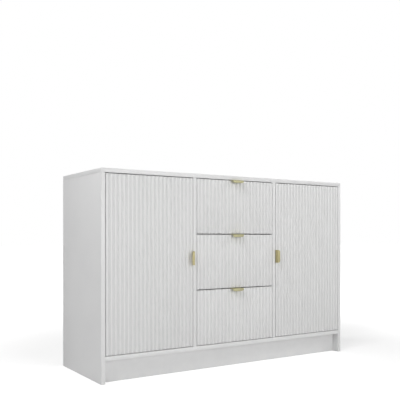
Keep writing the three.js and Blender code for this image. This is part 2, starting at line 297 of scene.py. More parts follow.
# ---------------------------------------------------------------- partitions
# Two upright partitions stand on the bottom panel and make the drawer bay. They carry the
# drawer runners on one face and the shelf pins on the other.

for side, inwards in (("left", -1), ("right", 1)):
    partition = block(side + "_partition_board", *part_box(side + "_partition"))
    round_edges(partition, BOARD_EDGE)
    low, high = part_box(side + "_partition")
    bore_pin_holes(partition, low.x if inwards < 0 else high.x, inwards)
    band_front(fit(partition, "carcass", "white_board", MELAMINE, side + "_partition"))

# ---------------------------------------------------------------- top panel
# The top lies over both sides and shows its banded edge all along the front. It is drawn
# down on to the uprights by cam fittings from inside.

carcass_board("top_panel")

# ---------------------------------------------------------------- cam caps
# The top is pulled down on each upright by two cam fittings let into its underside. Each cam
# is hidden under a white plastic cap with a rounded rim.

CAP_RADIUS = 8.5 * MM
CAP_RISE = 1.6 * MM
CAM_INSET = 24 * MM
CAM_ROWS = (FRONT_Y + 60 * MM, BACK_Y - 60 * MM)


def plastic_finish():
    """White moulded plastic with a faint haze and a very fine spark-eroded texture."""
    material = shader("white_plastic", (0.79, 0.79, 0.785), 0.42)
    haze = grain(material, (1, 1, 1), 120.0)
    tint(material, haze, (0.775, 0.775, 0.770), (0.802, 0.802, 0.800))
    texture = grain(material, (1, 1, 1), 2500.0, 2.0)
    vary_roughness(material, texture, 0.36, 0.5)
    raise_grain(material, texture, 0.02 * MM, 0.5)
    return material


PLASTIC = plastic_finish()


def copies(piece, spots):
    """Copies a piece to each spot, each copy with its own mesh, and removes the pattern."""
    made = []
    for spot in spots:
        only(piece)
        bpy.ops.object.duplicate(linked=False)
        copy = bpy.context.object
        copy.location = spot
        bpy.ops.object.transform_apply(location=True, rotation=True, scale=True)
        made.append(copy)
    bpy.data.objects.remove(piece)
    return made


def select_faces(piece, wanted):
    """Goes into edit mode with only the wanted faces selected, told from centre and normal."""
    only(piece)
    bpy.ops.object.mode_set(mode="EDIT")
    bpy.ops.mesh.select_mode(type="FACE")
    bpy.ops.mesh.select_all(action="DESELECT")
    bpy.ops.object.mode_set(mode="OBJECT")
    for face in piece.data.polygons:
        face.select = wanted(face.center, face.normal)
    bpy.ops.object.mode_set(mode="EDIT")


def cam_cap():
    """One cap, face down, with a shallow dish inside its rim."""
    cap = rod("cam_cap", (0, 0, -CAP_RISE / 2), CAP_RADIUS, CAP_RISE, sides=32)
    select_faces(cap, lambda centre, normal: normal.z < -0.9)
    bpy.ops.mesh.inset(thickness=1.6 * MM)
    bpy.ops.mesh.inset(thickness=0.5 * MM, depth=-0.4 * MM)
    bpy.ops.object.mode_set(mode="OBJECT")
    return round_edges(cap, 0.4 * MM)


top_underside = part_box("top_panel")[0].z
cam_spots = []
for node, inwards in (("left_side_panel", 1), ("right_side_panel", -1),
                      ("left_partition", -1), ("right_partition", 1)):
    low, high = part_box(node)
    face_x = high.x if inwards > 0 else low.x
    cam_spots += [(face_x + inwards * CAM_INSET, y, top_underside) for y in CAM_ROWS]
fit(join("top_cam_caps", copies(cam_cap(), cam_spots)), "carcass", "white_board", PLASTIC)

# ---------------------------------------------------------------- back sheet
# The back is one 3 mm hardboard sheet, lacquered white, nailed to the rear edges of the
# boards. Small flat-headed nails run round it and along the partitions.

NAIL_HEAD_RADIUS = 2.2 * MM
NAIL_HEAD_RISE = 0.35 * MM
NAIL_EDGE = 8 * MM
NAIL_STEPS = 7
HEAD_SINK = 0.2 * MM


def hardboard_finish():
    """White lacquer on hardboard: fine pressed fibres show through a thin coat."""
    material = shader("white_lacquered_hardboard", (0.74, 0.74, 0.73), 0.55)
    fibre = grain(material, (1, 1, 3), 160.0, 6.0)
    tint(material, fibre, (0.715, 0.713, 0.705), (0.758, 0.757, 0.752))
    vary_roughness(material, fibre, 0.48, 0.62)
    raise_grain(material, fibre, 0.06 * MM, 0.6)
    return material


def steel_finish(name, colour, low, high):
    """Plated steel: bright, with a fine rolled grain and small differences in shine."""
    material = shader(name, colour, (low + high) / 2, 1.0)
    patches = grain(material, (1, 1, 1), 90.0)
    tint(material, patches, tuple(0.92 * part for part in colour), colour)
    rolled = grain(material, (1, 1, 14), 700.0, 3.0)
    vary_roughness(material, rolled, low, high)
    raise_grain(material, rolled, 0.01 * MM, 0.5)
    return material


HARDBOARD = hardboard_finish()
ZINC = steel_finish("zinc_plated_steel", (0.56, 0.57, 0.58), 0.28, 0.45)

low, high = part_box("back_panel")
sheet_face_y = high.y - NAIL_HEAD_RISE
sheet = round_edges(block("back_sheet", low, (high.x, sheet_face_y, high.z)), 0.35 * MM, 1)
fit(sheet, "carcass", "white_sheet", HARDBOARD, "back_panel")

nail_spots = []
for step in range(NAIL_STEPS):
    z = low.z + NAIL_EDGE + (high.z - low.z - 2 * NAIL_EDGE) * step / (NAIL_STEPS - 1)
    for x in (low.x + NAIL_EDGE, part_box("left_partition")[0].x + NAIL_EDGE,
              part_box("right_partition")[0].x + NAIL_EDGE, high.x - NAIL_EDGE):
        nail_spots.append((x, high.y, z))
for step in range(1, 2 * NAIL_STEPS):
    x = low.x + NAIL_EDGE + (high.x - low.x - 2 * NAIL_EDGE) * step / (2 * NAIL_STEPS)
    for z in (low.z + NAIL_EDGE, high.z - NAIL_EDGE):
        nail_spots.append((x, high.y, z))
nail_length = NAIL_HEAD_RISE + HEAD_SINK
nail = rod("nail", (0, -nail_length / 2, 0), NAIL_HEAD_RADIUS, nail_length, ALONG_Y, 12)
round_edges(nail, 0.15 * MM, 1)
fit(join("back_sheet_nails", copies(nail, nail_spots)), "carcass", "nickel_steel", ZINC)

# ---------------------------------------------------------------- shelves
# Each door bay has one loose shelf of the same board. It lies on four nickel pins pushed into
# the bored rows, and each pin has a flat tongue on a round collar.

PIN_REACH = 8 * MM
COLLAR_RADIUS = 3.6 * MM
COLLAR_WIDTH = 1.4 * MM
TONGUE_HALF = 4.4 * MM
TONGUE_THICKNESS = 1.6 * MM
ALONG_X = (0, math.pi / 2, 0)

NICKEL = steel_finish("nickel_plated_steel", (0.66, 0.64, 0.60), 0.22, 0.38)


def unite(piece, other):
    """Makes two pieces one solid."""
    shape_with(piece, "BOOLEAN", operation="UNION", solver="EXACT", object=other)
    bpy.data.objects.remove(other)
    return piece


def shelf_pin(inwards):
    """One pin in the face at x = 0, with its tongue reaching into the bay. Its top is at z = 0."""
    shank_x = inwards * (PIN_REACH - PIN_DEPTH) / 2
    shank = rod("shelf_pin", (shank_x, 0, -PIN_RADIUS), PIN_RADIUS - 0.1 * MM,
                PIN_REACH + PIN_DEPTH - MM, ALONG_X, 20)
    collar = rod("collar", (inwards * COLLAR_WIDTH / 2, 0, -COLLAR_RADIUS), COLLAR_RADIUS,
                 COLLAR_WIDTH, ALONG_X, 24)
    tongue_x = sorted((inwards * COLLAR_WIDTH / 2, inwards * PIN_REACH))
    tongue = block(
        "tongue", (tongue_x[0], -TONGUE_HALF, -TONGUE_THICKNESS), (tongue_x[1], TONGUE_HALF, 0)
    )
    for part in (shank, collar, tongue):
        round_edges(part, 0.35 * MM)
    return unite(unite(shank, collar), tongue)


for side, outer, inner in (("left", 1, -1), ("right", -1, 1)):
    node = side + "_shelf"
    carcass_board(node)
    panel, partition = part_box(side + "_side_panel"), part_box(side + "_partition")
    panel_x = panel[1].x if outer > 0 else panel[0].x
    partition_x = partition[0].x if inner < 0 else partition[1].x
    for face_x, inwards, place in ((panel_x, outer, "outer"), (partition_x, inner, "inner")):
        spots = [(face_x, y, SHELF_BOTTOM) for y in pin_rows()]
        pins = join(f"{side}_shelf_{place}_pins", copies(shelf_pin(inwards), spots))
        fit(pins, "carcass", "nickel_steel", NICKEL)

# ---------------------------------------------------------------- fluted fronts
# Doors and drawer fronts are 18 mm fibreboard with round flutes run down the face by a
# cutter, then wrapped in white foil, which softens the lands between the flutes.

FLUTES = 21
FLUTE_WIDTH = 12 * MM
FLUTE_DEPTH = 3 * MM
FLUTE_MARGIN = 13 * MM
FLUTE_RADIUS = ((FLUTE_WIDTH / 2) ** 2 + FLUTE_DEPTH**2) / (2 * FLUTE_DEPTH)
LAND_EDGE = 0.45 * MM
CUTTER_OVERRUN = 10 * MM


def foil_finish(name, dark, light, low, high):
    """White wrapping foil: satin, with a fine leathery press and a faint cloudiness."""
    material = shader(name, light, high)
    cloud = grain(material, (1, 1, 0.3), 9.0)
    tint(material, cloud, dark, light)
    press = grain(material, (1, 1, 0.4), 1400.0, 2.0)
    vary_roughness(material, press, low, high)
    raise_grain(material, press, 0.02 * MM, 0.3)
    return material


FOIL = foil_finish("white_foil", (0.816, 0.816, 0.814), (0.830, 0.830, 0.828), 0.38, 0.48)
# The foil in the flutes gets a darker colour than on the lands: painted shade in the flutes. Its
# higher roughness is the foil's real matt finish.
FLUTE_FOIL_MATT_WITH_PAINTED_SHADE = foil_finish(
    "white_foil_in_flutes_matt_with_painted_shade", (0.728, 0.728, 0.726), (0.742, 0.742, 0.740), 0.46, 0.58
)


def foil_front(piece, node):
    """Gives a front its foil: the stretched foil in the flutes is more matt than on the lands, and
    its colour there is painted darker as painted shade in the flutes.
    """
    piece.data.materials.append(FLUTE_FOIL_MATT_WITH_PAINTED_SHADE)
    face_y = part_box(node)[0].y
    for face in piece.data.polygons:
        in_flute = face_y + LAND_EDGE < face.center.y < face_y + FLUTE_DEPTH + MM
        if in_flute and face.normal.y < -0.3:
            face.material_index = 1
    return piece


def fluted_front(name, node):
    """A front between its CAD corners, with the flutes cut down its whole face."""
    low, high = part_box(node)
    piece = block(name, low, high)
    pitch = (high.x - low.x - 2 * FLUTE_MARGIN) / (FLUTES - 1)
    centre = (low.x + FLUTE_MARGIN, low.y + FLUTE_DEPTH - FLUTE_RADIUS, (low.z + high.z) / 2)
    cutter = rod("flute_cutter", centre, FLUTE_RADIUS, high.z - low.z + CUTTER_OVERRUN, sides=48)
    shape_with(
        cutter, "ARRAY", count=FLUTES, use_relative_offset=False,
        use_constant_offset=True, constant_offset_displace=(pitch, 0, 0),
    )
    carve(piece, cutter)
    return round_edges(piece, LAND_EDGE)


CUP_BORE = 17.5 * MM
CUP_BORE_DEPTH = 11.8 * MM
CUP_HOLE_SIDES = 48
HINGE_LEVELS = ("lower", "upper")


def hinge_spot(side, level):
    """The middle of a hinge cup's mouth, on the back of the door."""
    low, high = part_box(f"{side}_{level}_hinge_cup")
    return Vector(((low.x + high.x) / 2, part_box(side + "_door_panel")[1].y, (low.z + high.z) / 2))


for side in ("left", "right"):
    node = side + "_door_panel"
    front = fluted_front(side + "_fluted_door", node)
    for level in HINGE_LEVELS:
        centre = hinge_spot(side, level)
        drill = rod("cup_drill", centre, CUP_BORE, 2 * CUP_BORE_DEPTH, ALONG_Y, CUP_HOLE_SIDES)
        carve(front, drill)
    foil_front(fit(front, side + "_door", "fluted_white", FOIL, node), node)

BOTTOM_GROOVE_DEPTH = 5 * MM
BOTTOM_GROOVE_PLAY = 0.25 * MM

for drawer in ("lower", "middle", "upper"):
    node = drawer + "_drawer_front"
    front = fluted_front(drawer + "_fluted_front", node)
    back_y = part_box(node)[1].y
    low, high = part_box(drawer + "_drawer_bottom")
    play = BOTTOM_GROOVE_PLAY
    groove_low = (low.x - play, back_y - BOTTOM_GROOVE_DEPTH, low.z - play)
    groove_high = (high.x + play, back_y + MM, high.z + play)
    carve(front, block("groove_saw", groove_low, groove_high))
    foil_front(fit(front, drawer + "_drawer", "fluted_white", FOIL, node), node)

# ---------------------------------------------------------------- handles
# Each handle is a strip of pale brass sheet bent twice. Its foot is screwed to the back of
# the front, its web crosses the edge, and its lip with two clipped corners hangs in front.

SHEET = 1.5 * MM
HANDLE_LENGTH = 54 * MM
HANDLE_LIP = 11 * MM
HANDLE_FOOT = 20 * MM
LIP_CORNER = 8.5 * MM
BEND = 2.25 * MM
HANDLE_EDGE = 0.3 * MM
FOOT_SCREW_SPREAD = 17 * MM
FOOT_SCREW_DROP = 11 * MM
FOOT_SCREW_RADIUS = 3 * MM
FOOT_SCREW_RISE = 1.6 * MM


def brass_finish(name, stretch, dark, light):
    """Pale brushed brass. The stretch runs the brush lines along the strip."""
    material = shader(name, light, 0.35, 1.0)
    brush = grain(material, stretch, 60.0, 6.0)
    tint(material, brush, dark, light)
    vary_roughness(material, brush, 0.62, 0.76)
    raise_grain(material, brush, 0.02 * MM, 0.4)
    return material


def select_edges(piece, wanted):
    """Goes into edit mode with only the edges selected whose two ends are both wanted."""
    only(piece)
    bpy.ops.object.mode_set(mode="EDIT")
    bpy.ops.mesh.select_mode(type="EDGE")
    bpy.ops.mesh.select_all(action="DESELECT")
    bpy.ops.object.mode_set(mode="OBJECT")
    spots = piece.data.vertices
    for edge in piece.data.edges:
        edge.select = all(wanted(spots[i].co) for i in edge.vertices)
    bpy.ops.object.mode_set(mode="EDIT")


def near(y, z):
    """Tells whether a point lies on the line at y and z that runs along x."""
    return lambda co: abs(co.y - y) < 0.1 * MM and abs(co.z - z) < 0.1 * MM


def bent_strip(name, section, length, bend):
    """A strip along x, still without thickness. The section's points are (y, z) on its middle
    plane: a flat blank is folded from one to the next, and its bends are rounded."""
    (y, z), (next_y, next_z) = section[:2]
    bpy.ops.object.select_all(action="DESELECT")
    bpy.ops.mesh.primitive_plane_add(
        size=1, location=(0, (y + next_y) / 2, (z + next_z) / 2),
        rotation=(math.atan2(next_z - z, next_y - y), 0, 0),
    )
    bpy.context.object.scale = (length, math.hypot(next_y - y, next_z - z), 1)
    strip = placed(name)
    for (y, z), (next_y, next_z) in zip(section[1:], section[2:]):
        select_edges(strip, near(y, z))
        fold = (0, next_y - y, next_z - z)
        bpy.ops.mesh.extrude_region_move(TRANSFORM_OT_translate={"value": fold})
        bpy.ops.object.mode_set(mode="OBJECT")
    for y, z in section[1:-1]:
        select_edges(strip, near(y, z))
        bpy.ops.mesh.bevel(offset=bend, segments=6, affect="EDGES")
        bpy.ops.object.mode_set(mode="OBJECT")
    return strip


def turn_outwards(piece):
    """Makes all faces point outwards, or the same way on an open sheet."""
    only(piece)
    bpy.ops.object.mode_set(mode="EDIT")
    bpy.ops.mesh.select_all(action="SELECT")
    bpy.ops.mesh.normals_make_consistent(inside=False)
    bpy.ops.object.mode_set(mode="OBJECT")
    return piece


def thicken(strip, sheet, edge):
    """Gives a strip its sheet thickness about its middle plane and softens its cut edges."""
    turn_outwards(strip)
    shape_with(strip, "SOLIDIFY", thickness=sheet, offset=0)
    turn_outwards(strip)
    return round_edges(strip, edge)


def moved(piece, place, turn):
    """Turns a finished piece about the origin and moves it, all within its mesh."""
    piece.rotation_euler = turn
    piece.location = place
    only(piece)
    bpy.ops.object.transform_apply(location=True, rotation=True, scale=True)
    return piece


def edge_pull(name, place, turn, depth):
    """A handle for a front of some depth. Before its turn, place is the middle of the front
    edge of the front's upper face."""
    reach = FRONT_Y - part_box("upper_drawer_handle")[0].y
    middle = SHEET / 2
    lip_y, foot_y = middle - reach, depth + middle
    section = [(lip_y, SHEET - HANDLE_LIP), (lip_y, middle),
               (foot_y, middle), (foot_y, -HANDLE_FOOT)]
    strip = bent_strip(name, section, HANDLE_LENGTH, BEND)
    select_edges(strip, near(*section[0]))
    bpy.ops.mesh.bevel(offset=LIP_CORNER, segments=8, affect="VERTICES")
    bpy.ops.object.mode_set(mode="OBJECT")
    return moved(thicken(strip, SHEET, HANDLE_EDGE), place, turn)


def pan_screw(radius, rise):
    """A screw head that stands on z = 0: a domed pan with a cross slot."""
    head = rod("screw", (0, 0, rise / 2), radius, rise, sides=16)
    select_faces(head, lambda centre, normal: normal.z > 0.9)
    bpy.ops.mesh.bevel(offset=0.45 * rise, segments=2, affect="EDGES")
    bpy.ops.object.mode_set(mode="OBJECT")
    slot_half, slot_width, slot_floor = 0.55 * radius, 0.13 * radius, 0.45 * rise
    across = block("slot", (-slot_half, -slot_width, slot_floor), (slot_half, slot_width, 2 * rise))
    along = block("slot", (-slot_width, -slot_half, slot_floor), (slot_width, slot_half, 2 * rise))
    return carve(carve(head, across), along)


def screws(name, body, radius, rise, turn, spots):
    """A set of like screw heads on one body, turned to face the same way."""
    pattern = moved(pan_screw(radius, rise), (0, 0, 0), turn)
    return fit(join(name, copies(pattern, spots)), body, "nickel_steel", ZINC)


FACING_BACK = (-math.pi / 2, 0, 0)
BRASS_ACROSS = brass_finish(
    "pale_brass_across", (1, 40, 40), (0.58, 0.56, 0.36), (0.66, 0.63, 0.41)
)
BRASS_UPRIGHT = brass_finish(
    "pale_brass_upright", (40, 40, 1), (0.59, 0.54, 0.32), (0.67, 0.61, 0.37)
)

for drawer in ("lower", "middle", "upper"):
    body = drawer + "_drawer"
    low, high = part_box(body + "_front")
    strip = edge_pull(body + "_pull", (0, low.y, high.z), (0, 0, 0), high.y - low.y)
    fit(strip, body, "pale_brass", BRASS_ACROSS, body + "_handle")
    foot_y = high.y + SHEET
    spots = [(x, foot_y, high.z - FOOT_SCREW_DROP) for x in (-FOOT_SCREW_SPREAD, FOOT_SCREW_SPREAD)]
    screws(body + "_pull_screws", body, FOOT_SCREW_RADIUS, FOOT_SCREW_RISE, FACING_BACK, spots)
for side, towards in (("left", 1), ("right", -1)):
    body = side + "_door"
    low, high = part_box(body + "_panel")
    handle_low, handle_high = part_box(body + "_handle")
    edge_x = high.x if towards > 0 else low.x
    middle_z = (handle_low.z + handle_high.z) / 2
    turn = (0, towards * math.pi / 2, 0)
    strip = edge_pull(body + "_pull", (edge_x, low.y, middle_z), turn, high.y - low.y)
    fit(strip, body, "pale_brass", BRASS_UPRIGHT, body + "_handle")
    screw_x = edge_x - towards * FOOT_SCREW_DROP
    spots = [(screw_x, high.y + SHEET, middle_z + z)
             for z in (-FOOT_SCREW_SPREAD, FOOT_SCREW_SPREAD)]
    screws(body + "_pull_screws", body, FOOT_SCREW_RADIUS, FOOT_SCREW_RISE, FACING_BACK, spots)

# ---------------------------------------------------------------- hinges
# Each door hangs on two concealed hinges of nickel-plated pressed steel. A round cup with two
# ears is let into the door, an arm on a wing plate is screwed to the side panel, and a curved
# link runs between the arm's cheeks and into the cup.

CUP_OUTER = 17.2 * MM
CUP_WALL = 1 * MM
CUP_RIM = 19 * MM
EAR_WIDTH = 21 * MM
EAR_CORNER = 4 * MM
EAR_SCREW = 26 * MM
LINK_INNER = 23.5 * MM
LINK_OUTER = 26.5 * MM
CHEEK = 1.25 * MM
ARM_HALF = 5.65 * MM
ARM_FOOT = 2.25 * MM
ARM_TOP = 12 * MM
ARM_REACH = (24 * MM, 66 * MM)
ARM_EDGE = 1.4 * MM
WING_THICKNESS = 3.5 * MM
WING_REACH = (34 * MM, 68 * MM)
WING_CORNER = 7 * MM
WING_SCREW = 17 * MM
WING_SCREW_REACH = 51 * MM
ADJUSTING_SCREW_REACH = 36 * MM
SLOT_FLOOR = 10.5 * MM
SLOT_OVERRUN = 2 * MM
SLOT_START = 16 * MM
SLOT_END = 6 * MM
SLOT_HALF = 2.4 * MM
SLOT_CORNER = 2.3 * MM
CHEEK_ANGLES = (22.4, 88)
CHEEK_EDGE = 0.25 * MM
TUNNEL_ANGLES = (20, 100)
TUNNEL_PLAY = 0.3 * MM
LINK_ANGLES = (20.6, 92)
LINK_HALF = 4 * MM
RIVET_ANGLES = (24.5, 88)
RIVET_RADIUS = 1.1 * MM
RIVET_LENGTH = 8.5 * MM
ARC_STEPS = 16


def round_corners(piece, radius, axis, steps=5):
    """Rounds the four edges of a block that run along one axis."""
    select_edges_along(piece, axis)
    bpy.ops.mesh.bevel(offset=radius, segments=steps, affect="EDGES")
    bpy.ops.object.mode_set(mode="OBJECT")
    return piece


def select_edges_along(piece, axis):
    """Goes into edit mode with only the edges that run along one axis selected."""
    select_edges(piece, lambda co: False)
    bpy.ops.object.mode_set(mode="OBJECT")
    spots = piece.data.vertices
    for edge in piece.data.edges:
        run = spots[edge.vertices[1]].co - spots[edge.vertices[0]].co
        edge.select = abs(run[axis]) > 0.99 * run.length
    bpy.ops.object.mode_set(mode="EDIT")


def hinge_cup(name, node, spot):
    """The cup with its rim and ears, open to the back."""
    low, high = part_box(node)
    cup = rod(name, (spot.x, (low.y + high.y) / 2, spot.z), CUP_OUTER, high.y - low.y, ALONG_Y, 48)
    rim = rod("rim", (spot.x, (spot.y + high.y) / 2, spot.z), CUP_RIM, high.y - spot.y, ALONG_Y, 48)
    ear_low = (spot.x - EAR_WIDTH / 2, spot.y, low.z)
    ear_high = (spot.x + EAR_WIDTH / 2, high.y, high.z)
    ears = block("ears", ear_low, ear_high)
    round_corners(ears, EAR_CORNER, 1)
    unite(unite(cup, rim), ears)
    hollow_y = (low.y + CUP_WALL, high.y + MM)
    hollow = rod("hollow", (spot.x, sum(hollow_y) / 2, spot.z), CUP_OUTER - CUP_WALL,
                 hollow_y[1] - hollow_y[0], ALONG_Y, 48)
    round_edges(hollow, 2 * MM, 3)
    return round_edges(carve(cup, hollow), 0.3 * MM)


def ring_piece(name, pivot, towards, angles, levels):
    """A sector of a square ring about an upright line, between two angles and two heights. The
    angles open from the door's plane towards the back."""
    start, end = (math.radians(angle) for angle in angles)
    middle = (LINK_INNER + LINK_OUTER) / 2
    heading = Vector((towards * math.cos(start), math.sin(start), 0))
    centre = pivot + heading * middle + Vector((0, 0, sum(levels) / 2))
    bpy.ops.object.select_all(action="DESELECT")
    bpy.ops.mesh.primitive_plane_add(
        size=1, location=centre, rotation=(math.pi / 2, 0, math.atan2(heading.y, heading.x))
    )
    bpy.context.object.scale = (LINK_OUTER - LINK_INNER, levels[1] - levels[0], 1)
    ring = placed(name)
    only(ring)
    bpy.ops.object.mode_set(mode="EDIT")
    bpy.ops.mesh.select_all(action="SELECT")
    bpy.ops.mesh.spin(
        steps=ARC_STEPS, angle=towards * (start - end), center=pivot, axis=(0, 0, 1)
    )
    bpy.ops.mesh.select_all(action="SELECT")
    bpy.ops.mesh.remove_doubles(threshold=0.01 * MM)
    bpy.ops.mesh.fill_holes(sides=4)
    bpy.ops.object.mode_set(mode="OBJECT")
    return turn_outwards(ring)


def hinge_arm(name, node, pivot, towards):
    """The wing plate, the arm with its adjusting slot, and the two curved cheeks."""
    low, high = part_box(node)
    panel_x = low.x if towards > 0 else high.x

    def across(*reaches):
        return sorted(panel_x + towards * reach for reach in reaches)

    plate_x, arm_x = across(0, WING_THICKNESS), across(ARM_FOOT, ARM_TOP)
    plate_y = [pivot.y + reach for reach in WING_REACH]
    arm_y = [pivot.y + reach for reach in ARM_REACH]
    wings = block(name, (plate_x[0], plate_y[0], low.z), (plate_x[1], plate_y[1], high.z))
    round_corners(wings, WING_CORNER, 0)
    round_edges(wings, 0.5 * MM)
    arm_low = (arm_x[0], arm_y[0], pivot.z - ARM_HALF)
    arm_high = (arm_x[1], arm_y[1], pivot.z + ARM_HALF)
    arm = round_edges(block("arm", arm_low, arm_high), ARM_EDGE, 3)
    slot_x = across(SLOT_FLOOR, ARM_TOP + SLOT_OVERRUN)
    slot_low = (slot_x[0], arm_y[1] - SLOT_START, pivot.z - SLOT_HALF)
    slot_high = (slot_x[1], arm_y[1] - SLOT_END, pivot.z + SLOT_HALF)
    slot = round_corners(block("slot", slot_low, slot_high), SLOT_CORNER, 0)
    unite(wings, carve(arm, slot))
    cheek_levels = ((-ARM_HALF, CHEEK - ARM_HALF), (ARM_HALF - CHEEK, ARM_HALF))
    for levels in cheek_levels:
        cheek = ring_piece("cheek", pivot, towards, CHEEK_ANGLES, levels)
        unite(wings, round_edges(cheek, CHEEK_EDGE))
    tunnel_levels = (CHEEK - ARM_HALF, ARM_HALF - CHEEK)
    tunnel = ring_piece("tunnel", pivot, towards, TUNNEL_ANGLES, tunnel_levels)
    shape_with(tunnel, "DISPLACE", strength=TUNNEL_PLAY, mid_level=0)
    return carve(wings, tunnel)


def ring_point(pivot, towards, angle):
    """The point of the ring's middle line at an angle."""
    middle = (LINK_INNER + LINK_OUTER) / 2
    turn = math.radians(angle)
    return pivot + Vector((towards * math.cos(turn), math.sin(turn), 0)) * middle


for side, towards in (("left", 1), ("right", -1)):
    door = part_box(side + "_door_panel")
    pivot_x = door[0].x if towards > 0 else door[1].x
    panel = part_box(side + "_side_panel")
    panel_x = panel[1].x if towards > 0 else panel[0].x
    ear_spots, wing_spots, adjusting_spots = [], [], []
    for level in HINGE_LEVELS:
        hinge = f"{side}_{level}_hinge"
        spot = hinge_spot(side, level)
        pivot = Vector((pivot_x, door[0].y, spot.z))
        cup = hinge_cup(hinge + "_pressed_cup", hinge + "_cup", spot)
        fit(cup, side + "_door", "nickel_steel", NICKEL, hinge + "_cup")
        arm = hinge_arm(hinge + "_wing_arm", hinge + "_arm", pivot, towards)
        fit(arm, "carcass", "nickel_steel", NICKEL, hinge + "_arm")
        link_levels = (-LINK_HALF, LINK_HALF)
        link = ring_piece(hinge + "_curved_link", pivot, towards, LINK_ANGLES, link_levels)
        round_edges(link, 0.5 * MM)
        rivets = []
        for angle in RIVET_ANGLES:
            place = ring_point(pivot, towards, angle)
            rivets.append(rod("rivet", place, RIVET_RADIUS, RIVET_LENGTH, sides=16))
        link = join(hinge + "_curved_link", [link] + rivets)
        fit(link, side + "_door_links", "nickel_steel", NICKEL, hinge + "_link")
        ear_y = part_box(hinge + "_cup")[1].y
        ear_spots += [(spot.x, ear_y, spot.z + z) for z in (-EAR_SCREW, EAR_SCREW)]
        wing_y = pivot.y + WING_SCREW_REACH
        wing_x = panel_x + towards * WING_THICKNESS
        wing_spots += [(wing_x, wing_y, spot.z + z) for z in (-WING_SCREW, WING_SCREW)]
        arm_x = panel_x + towards * ARM_TOP
        adjusting_spots.append((arm_x, pivot.y + ADJUSTING_SCREW_REACH, spot.z))
    facing_bay = (0, towards * math.pi / 2, 0)
    screws(side + "_cup_screws", side + "_door", 3.6 * MM, 1.7 * MM, FACING_BACK, ear_spots)
    screws(side + "_wing_screws", "carcass", 4 * MM, 1.9 * MM, facing_bay, wing_spots)
    screws(side + "_adjusting_screws", "carcass", 3 * MM, 1 * MM, facing_bay, adjusting_spots)

# ---------------------------------------------------------------- door stops
# A white plastic stop is screwed to the partition behind each door's free edge, near the top
# and near the bottom. A soft round buffer pressed into its face meets the closing door.

STOP_DEPTH = 16 * MM
STOP_WIDTH = 10 * MM
STOP_HEIGHT = 24 * MM
STOP_INSET = 60 * MM
STOP_SCREW_RADIUS = 3 * MM
BUFFER_RADIUS = 3.6 * MM
BUFFER_RISE = 1 * MM
BUFFER_GAP = 0.3 * MM


def buffer_finish():
    """Soft clear-white buffer plastic, cloudy and matt."""
    material = shader("soft_buffer", (0.60, 0.60, 0.58), 0.6)
    cloud = grain(material, (1, 1, 1), 300.0)
    tint(material, cloud, (0.56, 0.56, 0.54), (0.64, 0.64, 0.62))
    vary_roughness(material, cloud, 0.5, 0.7)
    raise_grain(material, cloud, 0.02 * MM, 0.4)
    return material


BUFFER = buffer_finish()

for side, towards in (("left", -1), ("right", 1)):
    partition_low, partition_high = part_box(side + "_partition")
    door_low, door_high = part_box(side + "_door_panel")
    wall_x = partition_low.x if towards < 0 else partition_high.x
    face_y = door_high.y + BUFFER_GAP + BUFFER_RISE
    stop_x = sorted((wall_x, wall_x + towards * STOP_WIDTH))
    stops, buffers, screw_spots = [], [], []
    for middle_z in (door_low.z + STOP_INSET, door_high.z - STOP_INSET):
        stop = block(
            "stop", (stop_x[0], face_y, middle_z - STOP_HEIGHT / 2),
            (stop_x[1], face_y + STOP_DEPTH, middle_z + STOP_HEIGHT / 2),
        )
        stops.append(round_edges(stop, MM, 3))
        place = (sum(stop_x) / 2, face_y - BUFFER_RISE / 2, middle_z)
        buffer = rod("buffer", place, BUFFER_RADIUS, BUFFER_RISE, ALONG_Y)
        buffers.append(round_edges(buffer, 0.3 * MM))
        screw_spots.append((wall_x + towards * STOP_WIDTH, face_y + STOP_DEPTH / 2, middle_z))
    fit(join(side + "_door_stops", stops), "carcass", "white_board", PLASTIC)
    fit(join(side + "_door_buffers", buffers), "carcass", "white_board", BUFFER)
    screws(side + "_stop_screws", "carcass", STOP_SCREW_RADIUS, MM,
           (0, towards * math.pi / 2, 0), screw_spots)

# ---------------------------------------------------------------- drawer boxes
# Each drawer is a box behind its front: two 12 mm white board sides with a groove for the
# bottom, a back between them, and a thin hardboard bottom that slides in and is held by the
# front's groove. Screws through the sides hold the back.

BOX_EDGE = 0.5 * MM
SIDE_SCREW_RADIUS = 3.2 * MM

for drawer in ("lower", "middle", "upper"):
    body = drawer + "_drawer"
    bottom_low, bottom_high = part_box(body + "_bottom")
    back_low, back_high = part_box(body + "_back")
    for side, outwards in (("left", -1), ("right", 1)):
        node = f"{body}_{side}_side"
        low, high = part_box(node)
        board = round_edges(block(node + "_board", low, high), BOX_EDGE)
        inner_x = high.x if outwards < 0 else low.x
        groove_x = sorted((inner_x - outwards * MM, inner_x + outwards * BOTTOM_GROOVE_DEPTH))
        saw = block(
            "groove_saw", (groove_x[0], low.y - MM, bottom_low.z - BOTTOM_GROOVE_PLAY),
            (groove_x[1], high.y + MM, bottom_high.z + BOTTOM_GROOVE_PLAY),
        )
        fit(carve(board, saw), body, "white_board", MELAMINE, node)
        outer_x = low.x if outwards < 0 else high.x
        back_y = (back_low.y + back_high.y) / 2
        levels = (back_low.z + 25 * MM, back_high.z - 20 * MM)
        screws(f"{body}_{side}_back_screws", body, SIDE_SCREW_RADIUS, 0.8 * MM,
               (0, outwards * math.pi / 2, 0), [(outer_x, back_y, z) for z in levels])
    back = round_edges(block(body + "_back_board", back_low, back_high), BOX_EDGE)
    fit(back, body, "white_board", MELAMINE, body + "_back")
    sheet = round_edges(block(body + "_bottom_sheet", bottom_low, bottom_high), 0.3 * MM, 1)
    fit(sheet, body, "white_sheet", HARDBOARD, body + "_bottom")

# ---------------------------------------------------------------- runners
# The drawers run on white roller runners, folded from 1.25 mm steel and powder coated. One
# member is screwed under each drawer side with a nylon wheel at its rear. The channel on the
# partition carries the other wheel at its front.

